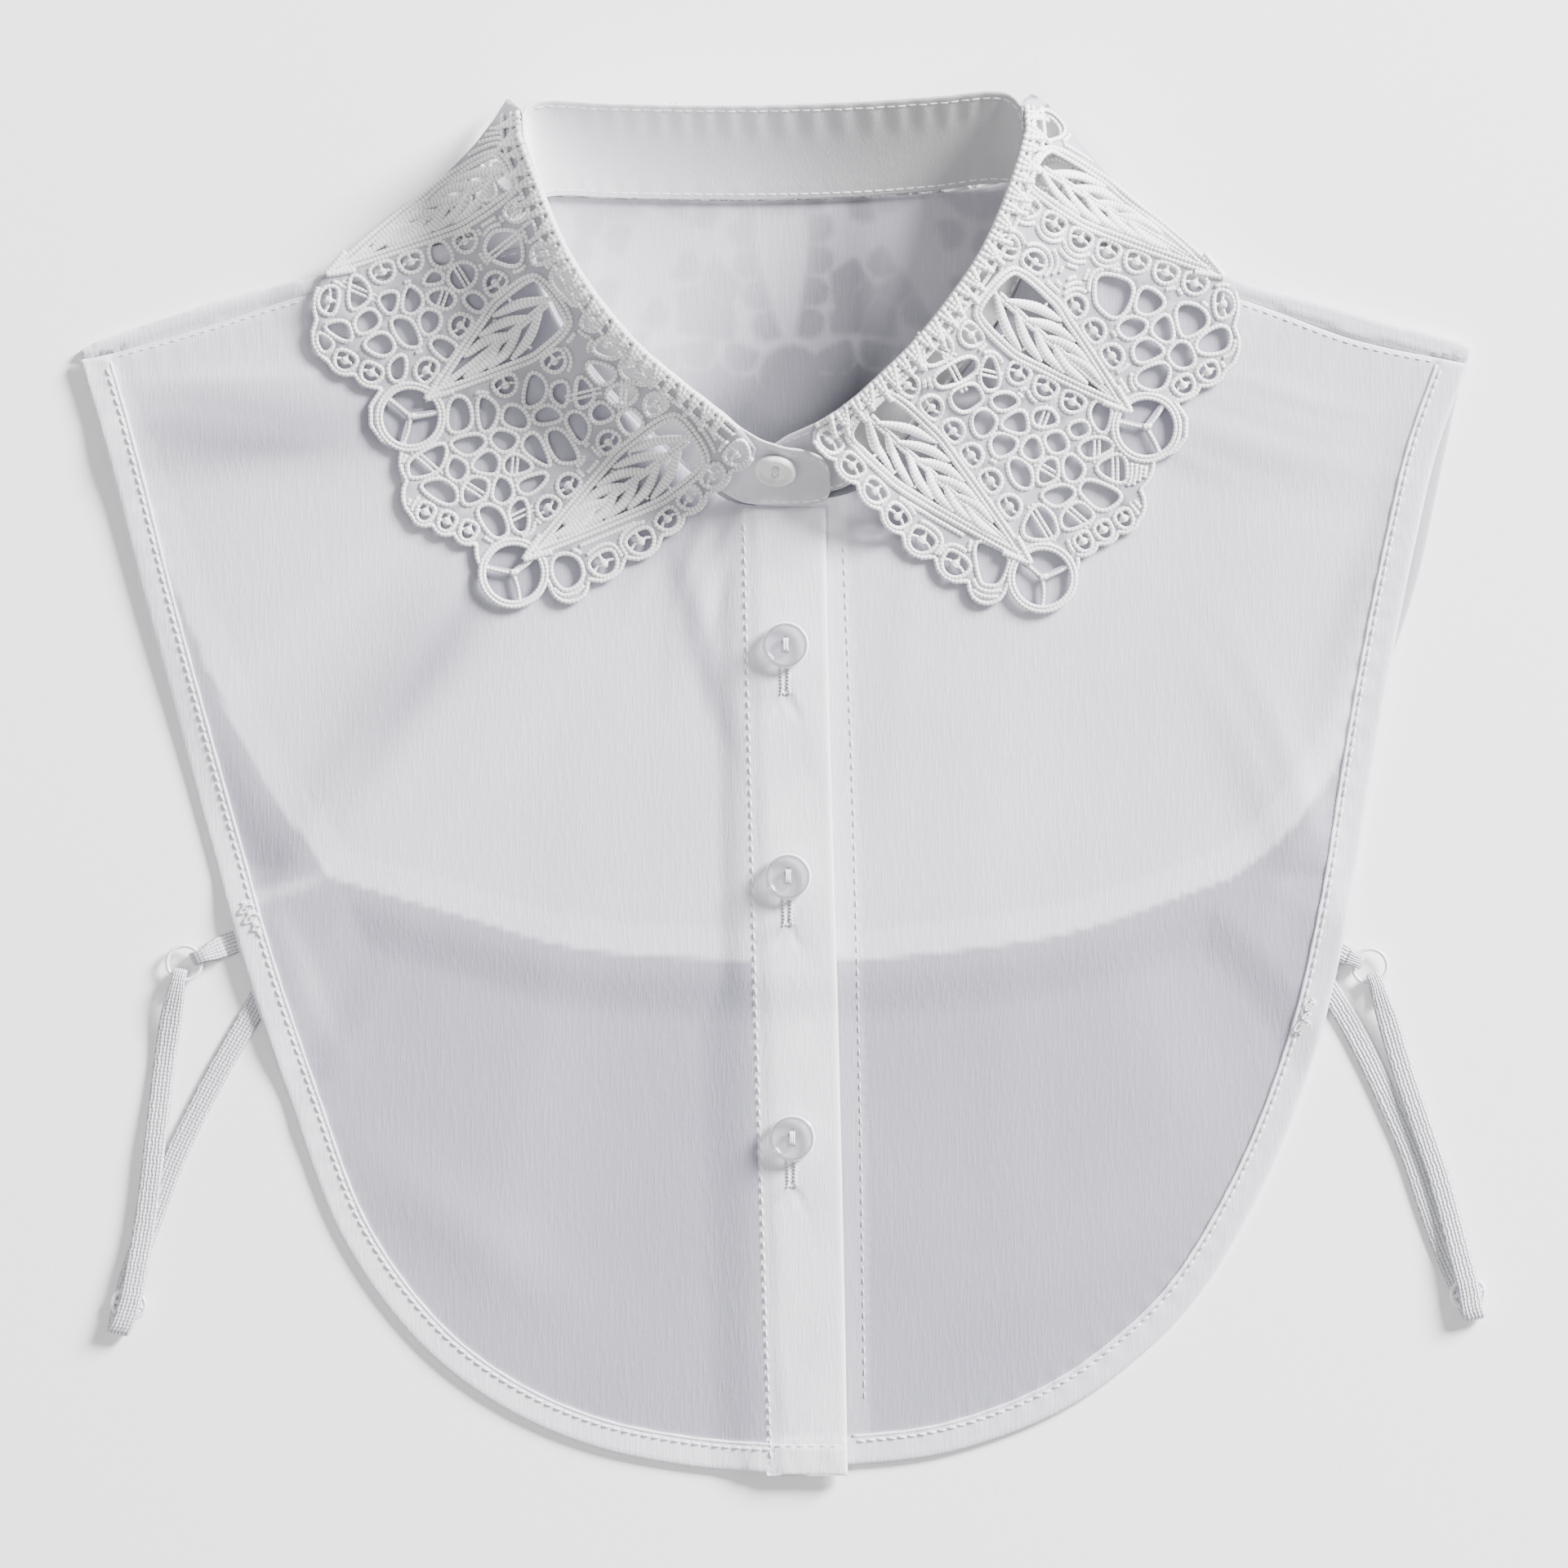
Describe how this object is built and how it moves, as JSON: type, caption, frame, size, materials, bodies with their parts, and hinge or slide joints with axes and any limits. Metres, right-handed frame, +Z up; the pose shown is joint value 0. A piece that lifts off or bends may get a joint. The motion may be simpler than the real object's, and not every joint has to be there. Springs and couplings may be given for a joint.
{
  "type": "false collar",
  "caption": "White button-front false collar laid flat, with a fold-over guipure lace collar, a collar stand, clear buttons and adjustable elastic side straps",
  "frame": {"origin": "the middle of the bounding box at the surface that the garment lies on", "axes": "+X to the viewer's right as the garment lies face up, +Y towards the back of the neck, +Z up, away from the surface"},
  "size_m": [0.3447, 0.3384, 0.0257],
  "materials": {
    "cloth": "plain-woven polyester and cotton, white",
    "lace": "embroidered guipure lace, white",
    "clear_button": "clear moulded resin",
    "white_button": "white moulded resin",
    "elastic": "narrow knitted elastic, white",
    "nylon": "nylon-coated, white"
  },
  "bodies": {
    "root": {"front_left": "cloth", "front_right": "cloth", "back_panel": "cloth", "placket": "cloth", "stand": "cloth", "lace_left": "lace", "lace_right": "lace", "lace_back": "lace", "button_1": "clear_button", "button_2": "clear_button", "button_3": "clear_button", "stand_button": "white_button", "strap_left": "elastic", "strap_right": "elastic", "tab_left": "elastic", "tab_right": "elastic", "ring_left": "nylon", "ring_right": "nylon", "slider_left": "nylon", "slider_right": "nylon"}
  },
  "joints": []
}
